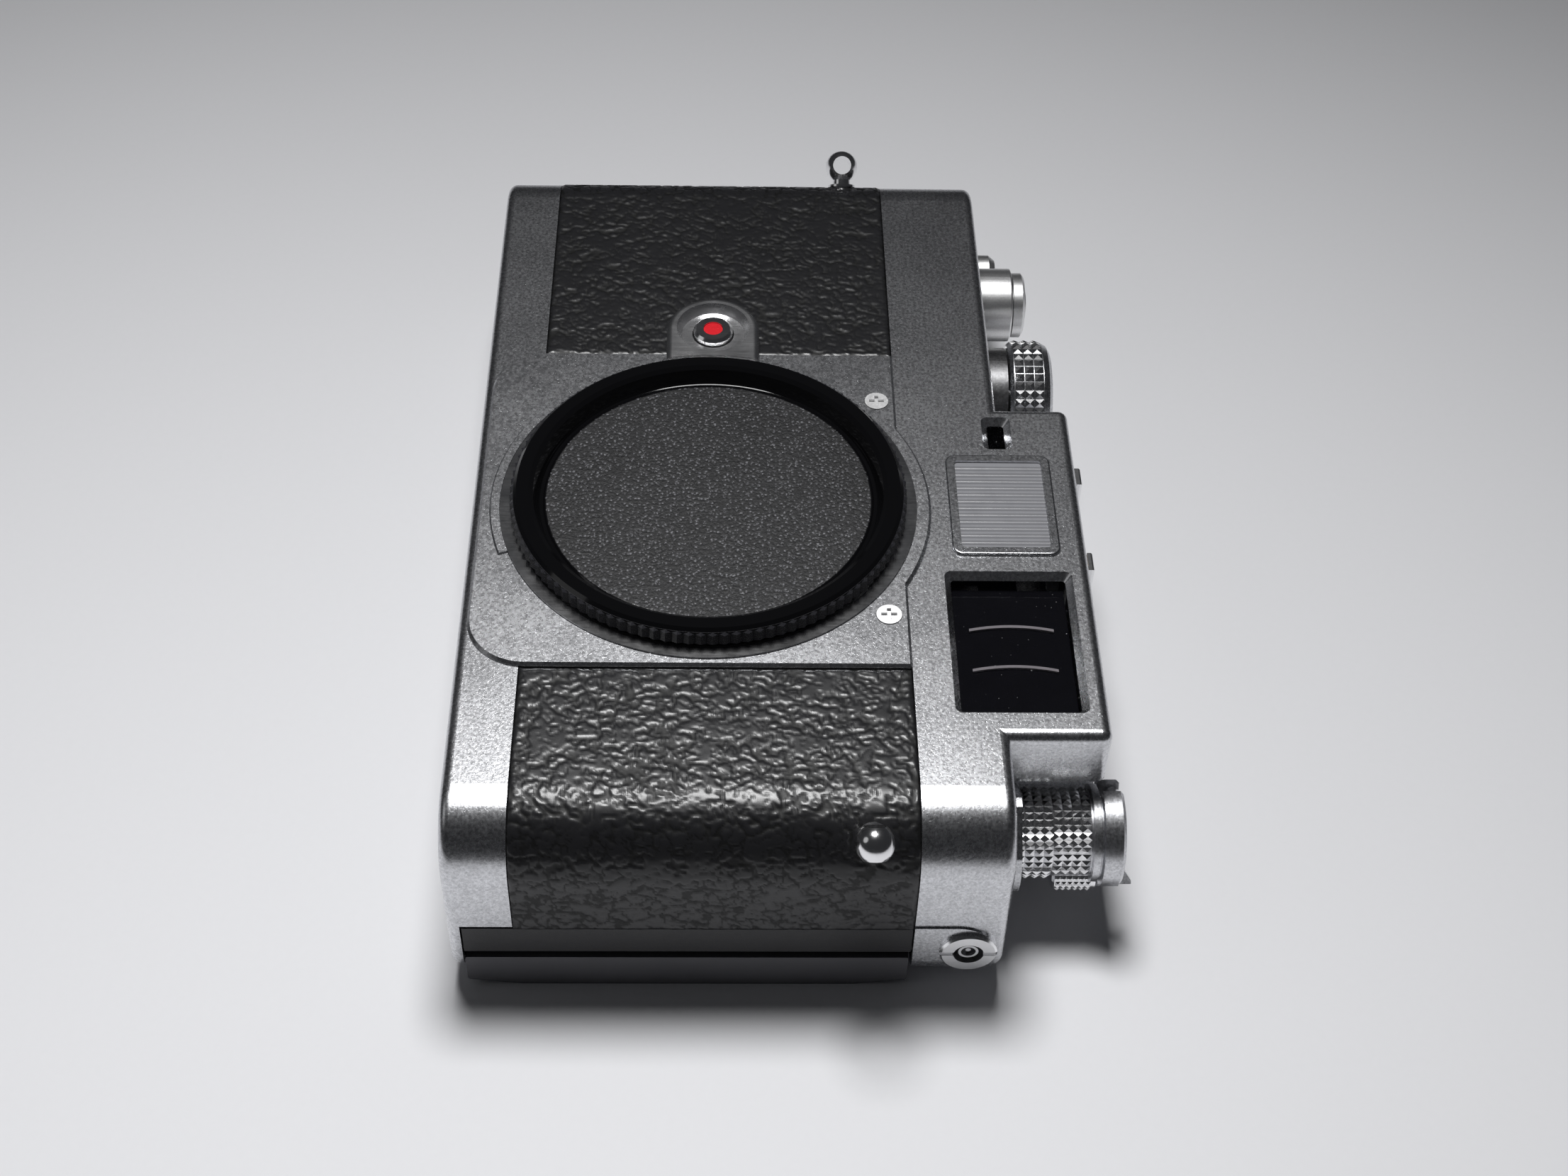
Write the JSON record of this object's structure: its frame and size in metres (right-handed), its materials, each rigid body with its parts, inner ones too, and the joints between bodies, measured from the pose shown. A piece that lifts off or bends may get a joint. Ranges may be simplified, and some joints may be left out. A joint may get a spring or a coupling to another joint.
{
  "type": "rangefinder film camera body",
  "caption": "Rangefinder film camera body for 35 mm film, lying on its back: satin silver covers, black grained skin, knurled controls and a black body cap over the lens mount.",
  "frame": {"origin": "on the lens axis, in the plane that the camera's back rests on", "axes": "+X along the body towards the rewind end, +Y towards the top deck, +Z out of the lens mount"},
  "size_m": [0.1403, 0.0885, 0.035],
  "materials": {
    "satin_silver": "fine satin plating",
    "bright_metal": "polished or knurled plating",
    "steel": "brushed",
    "brass": "plain turned",
    "black_grain": "pebble grain",
    "black_metal": "matt black",
    "diecast": "cast and blackened",
    "black_plastic": "fine satin",
    "cap_plastic": "gloss moulded",
    "red_plastic": "gloss",
    "clear_glass": "polished",
    "dark_glass": "coated",
    "frosted_glass": "ribbed and frosted",
    "mirror": "half silvered"
  },
  "bodies": {
    "camera_body": {"chassis": "diecast", "top_cover": "satin_silver", "bottom_cover": "satin_silver", "front_plate": "satin_silver", "covering_rewind_side": "black_grain", "covering_release_side": "black_grain", "strap_lugs": "bright_metal", "lens_mount_ring": "bright_metal", "front_screws": "bright_metal", "lens_release_shroud": "bright_metal", "rangefinder_window": "dark_glass", "viewfinder_window": "dark_glass", "frame_window_bezel": "bright_metal", "frame_window": "frosted_glass", "viewfinder_prism": "clear_glass", "link_prism": "clear_glass", "eyepiece_frame": "black_plastic", "eyepiece_lens": "clear_glass", "accessory_shoe": "bright_metal", "shoe_base": "black_plastic", "shoe_contact": "brass", "rewind_base": "satin_silver", "release_collar": "bright_metal", "dial_collar": "bright_metal", "counter_housing": "black_plastic", "counter_lens": "clear_glass", "hinge_pin": "steel", "shutter_frame": "black_metal", "tripod_bush": "steel", "button_cells": "steel", "sync_socket": "bright_metal"},
    "door": {"film_door": "black_plastic", "door_covering": "black_grain", "film_window": "dark_glass"},
    "film_pressure_plate": {"pressure_plate": "steel"},
    "rewind_slider": {"rewind_sleeve": "steel"},
    "rewind": {"rewind_knob": "bright_metal", "rewind_shaft": "steel"},
    "crank": {"rewind_crank": "bright_metal"},
    "crank_grip": {"crank_handle": "bright_metal"},
    "lever": {"advance_lever": "bright_metal", "advance_lever_tip": "black_plastic"},
    "spool": {"take_up_spool": "black_plastic"},
    "sprocket": {"film_sprocket": "steel"},
    "counter": {"counter_disc": "black_metal"},
    "shutter_button": {"release_button": "bright_metal"},
    "dial": {"speed_dial": "bright_metal"},
    "selector": {"frame_selector": "bright_metal"},
    "lens_release": {"lens_release_button": "bright_metal", "lens_release_dot": "red_plastic", "lock_pin": "steel"},
    "cap": {"body_cap": "cap_plastic"},
    "rewind_release": {"rewind_release_button": "bright_metal"},
    "battery_lid": {"battery_cover": "bright_metal"},
    "blade_upper": {"shutter_blade_upper": "black_metal"},
    "blade_middle": {"shutter_blade_middle": "black_metal"},
    "blade_lower": {"shutter_blade_lower": "black_metal"},
    "follower_arm": {"roller_arm": "steel"},
    "follower_roller": {"roller": "brass"},
    "mirror": {"rangefinder_mirror": "mirror"}
  },
  "joints": [
    {"name": "door_hinge", "type": "hinge", "parent": "camera_body", "child": "door", "pos_m": [-0.0754, -0.002, 0.0026], "axis": [0, 1, 0], "range_deg": [0, 120]},
    {"name": "pressure_plate_slide", "type": "slide", "parent": "door", "child": "film_pressure_plate", "axis": [0, 0, 1], "range_m": [-0.0005, 0], "stiffness_N_per_m": 1000, "springref_m": 0.001},
    {"name": "rewind_lift", "type": "slide", "parent": "camera_body", "child": "rewind_slider", "axis": [0, 1, 0], "range_m": [0, 0.004]},
    {"name": "rewind_spin", "type": "hinge", "parent": "rewind_slider", "child": "rewind", "pos_m": [0.0432, 0.045, 0.014], "axis": [0, 1, 0], "continuous": true},
    {"name": "crank_fold", "type": "hinge", "parent": "rewind", "child": "crank", "pos_m": [0.04085, 0.0532, 0.01842], "axis": [0.8829, 0, 0.4695], "range_deg": [0, 168]},
    {"name": "crank_handle_spin", "type": "hinge", "parent": "crank", "child": "crank_grip", "pos_m": [0.0459, 0.0532, 0.00892], "axis": [0, 1, 0], "continuous": true},
    {"name": "advance_stroke", "type": "hinge", "parent": "camera_body", "child": "lever", "pos_m": [-0.0636, 0.044, 0.014], "axis": [0, 1, 0], "range_deg": [0, 110], "stiffness_Nm_per_rad": 0.02},
    {"name": "take_up_turn", "type": "hinge", "parent": "camera_body", "child": "spool", "pos_m": [-0.0636, 0, 0.014], "axis": [0, 1, 0], "range_deg": [0, 330]},
    {"name": "sprocket_turn", "type": "hinge", "parent": "camera_body", "child": "sprocket", "pos_m": [-0.0385, 0, 0.0098], "axis": [0, 1, 0], "range_deg": [0, 360]},
    {"name": "counter_turn", "type": "hinge", "parent": "camera_body", "child": "counter", "pos_m": [-0.0636, 0.0372, 0.014], "axis": [0, 1, 0], "range_deg": [0, 9]},
    {"name": "release_press", "type": "slide", "parent": "camera_body", "child": "shutter_button", "axis": [0, -1, 0], "range_m": [0, 0.0015], "stiffness_N_per_m": 400},
    {"name": "speed_dial_turn", "type": "hinge", "parent": "camera_body", "child": "dial", "pos_m": [-0.0386, 0.048, 0.016], "axis": [0, 1, 0], "range_deg": [-150, 150]},
    {"name": "frame_selector_turn", "type": "hinge", "parent": "camera_body", "child": "selector", "pos_m": [0.024, 0.0526, 0.009], "axis": [0, 1, 0], "range_deg": [-25, 25], "stiffness_Nm_per_rad": 0.01},
    {"name": "lens_release_press", "type": "slide", "parent": "camera_body", "child": "lens_release", "axis": [0, 0, -1], "range_m": [0, 0.0012], "stiffness_N_per_m": 500},
    {"name": "cap_lift", "type": "slide", "parent": "camera_body", "child": "cap", "axis": [0, 0, 1], "range_m": [0, 0.03]},
    {"name": "rewind_release_press", "type": "slide", "parent": "camera_body", "child": "rewind_release", "axis": [0, 1, 0], "range_m": [0, 0.0012], "stiffness_N_per_m": 400},
    {"name": "battery_cover_turn", "type": "hinge", "parent": "camera_body", "child": "battery_lid", "pos_m": [-0.033, -0.0315, 0.019], "axis": [0, 1, 0], "range_deg": [0, 90]},
    {"name": "shutter_blade_upper_slide", "type": "slide", "parent": "camera_body", "child": "blade_upper", "axis": [0, -1, 0], "range_m": [0, 0.0285]},
    {"name": "shutter_blade_middle_slide", "type": "slide", "parent": "camera_body", "child": "blade_middle", "axis": [0, -1, 0], "range_m": [0, 0.0198]},
    {"name": "shutter_blade_lower_slide", "type": "slide", "parent": "camera_body", "child": "blade_lower", "axis": [0, -1, 0], "range_m": [0, 0.0111]},
    {"name": "roller_arm_swing", "type": "hinge", "parent": "camera_body", "child": "follower_arm", "pos_m": [0, 0.0276, 0.02], "axis": [1, 0, 0], "range_deg": [0, 12], "stiffness_Nm_per_rad": 0.05},
    {"name": "roller_spin", "type": "hinge", "parent": "follower_arm", "child": "follower_roller", "pos_m": [0, 0.0186, 0.0245], "axis": [1, 0, 0], "continuous": true},
    {"name": "mirror_turn", "type": "hinge", "parent": "camera_body", "child": "mirror", "pos_m": [-0.015, 0.04, 0.017], "axis": [0, 1, 0], "range_deg": [0, 2.4]}
  ],
  "couplings": [
    {"joint": "take_up_turn", "follows": "advance_stroke", "ratio": 3},
    {"joint": "sprocket_turn", "follows": "advance_stroke", "ratio": 3.2727},
    {"joint": "counter_turn", "follows": "advance_stroke", "ratio": 0.0818},
    {"joint": "shutter_blade_middle_slide", "follows": "shutter_blade_upper_slide", "ratio": 0.6947},
    {"joint": "shutter_blade_lower_slide", "follows": "shutter_blade_upper_slide", "ratio": 0.3894},
    {"joint": "mirror_turn", "follows": "roller_arm_swing", "ratio": 0.2}
  ]
}
